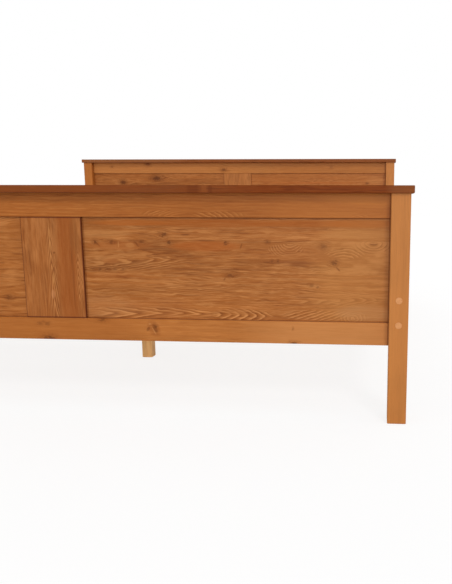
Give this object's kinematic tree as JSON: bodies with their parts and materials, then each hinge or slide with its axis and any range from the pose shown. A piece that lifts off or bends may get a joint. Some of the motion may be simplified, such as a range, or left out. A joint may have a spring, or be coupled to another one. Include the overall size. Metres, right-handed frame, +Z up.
{
  "type": "panel bed",
  "caption": "Low double bed: panelled foot and head ends with overhanging cap boards, bolted side rails, and a slatted base on a centre beam with support legs.",
  "frame": {"origin": "on the floor under the middle of the bed", "axes": "+X to the right seen from the foot, +Y towards the head, +Z up"},
  "size_m": [1.69, 2.162, 0.744],
  "materials": {
    "stained_pine": "satin lacquer over honey stain, grain along each piece",
    "panel_board": "satin lacquer over honey stain, edge-glued boards with level grain",
    "cap_board": "satin lacquer over red-brown stain",
    "plain_pine": "planed and lightly oiled",
    "plug_wood": "satin lacquer, end grain",
    "zinc_steel": "zinc plated",
    "hanger_steel": "galvanised sheet"
  },
  "bodies": {
    "root": {"centre_beam": "plain_pine", "foot_beam_hanger": "hanger_steel", "foot_bed_bolts": "zinc_steel", "foot_bolt_plugs": "plug_wood", "foot_bottom_rail": "stained_pine", "foot_cap": "cap_board", "foot_muntin": "stained_pine", "foot_panel_left": "panel_board", "foot_panel_right": "panel_board", "foot_post_left": "stained_pine", "foot_post_right": "stained_pine", "foot_support_leg": "plain_pine", "foot_top_rail": "stained_pine", "head_beam_hanger": "hanger_steel", "head_bed_bolts": "zinc_steel", "head_bolt_plugs": "plug_wood", "head_bottom_rail": "stained_pine", "head_cap": "cap_board", "head_muntin": "stained_pine", "head_panel_left": "panel_board", "head_panel_right": "panel_board", "head_post_left": "stained_pine", "head_post_right": "stained_pine", "head_support_leg": "plain_pine", "head_top_rail": "stained_pine", "side_rail_barrel_nuts": "zinc_steel", "side_rail_left": "stained_pine", "side_rail_right": "stained_pine", "slat_01": "plain_pine", "slat_02": "plain_pine", "slat_03": "plain_pine", "slat_04": "plain_pine", "slat_05": "plain_pine", "slat_06": "plain_pine", "slat_07": "plain_pine", "slat_08": "plain_pine", "slat_09": "plain_pine", "slat_10": "plain_pine", "slat_11": "plain_pine", "slat_12": "plain_pine", "slat_13": "plain_pine", "slat_14": "plain_pine", "slat_ledge_left": "plain_pine", "slat_ledge_right": "plain_pine"}
  },
  "joints": []
}
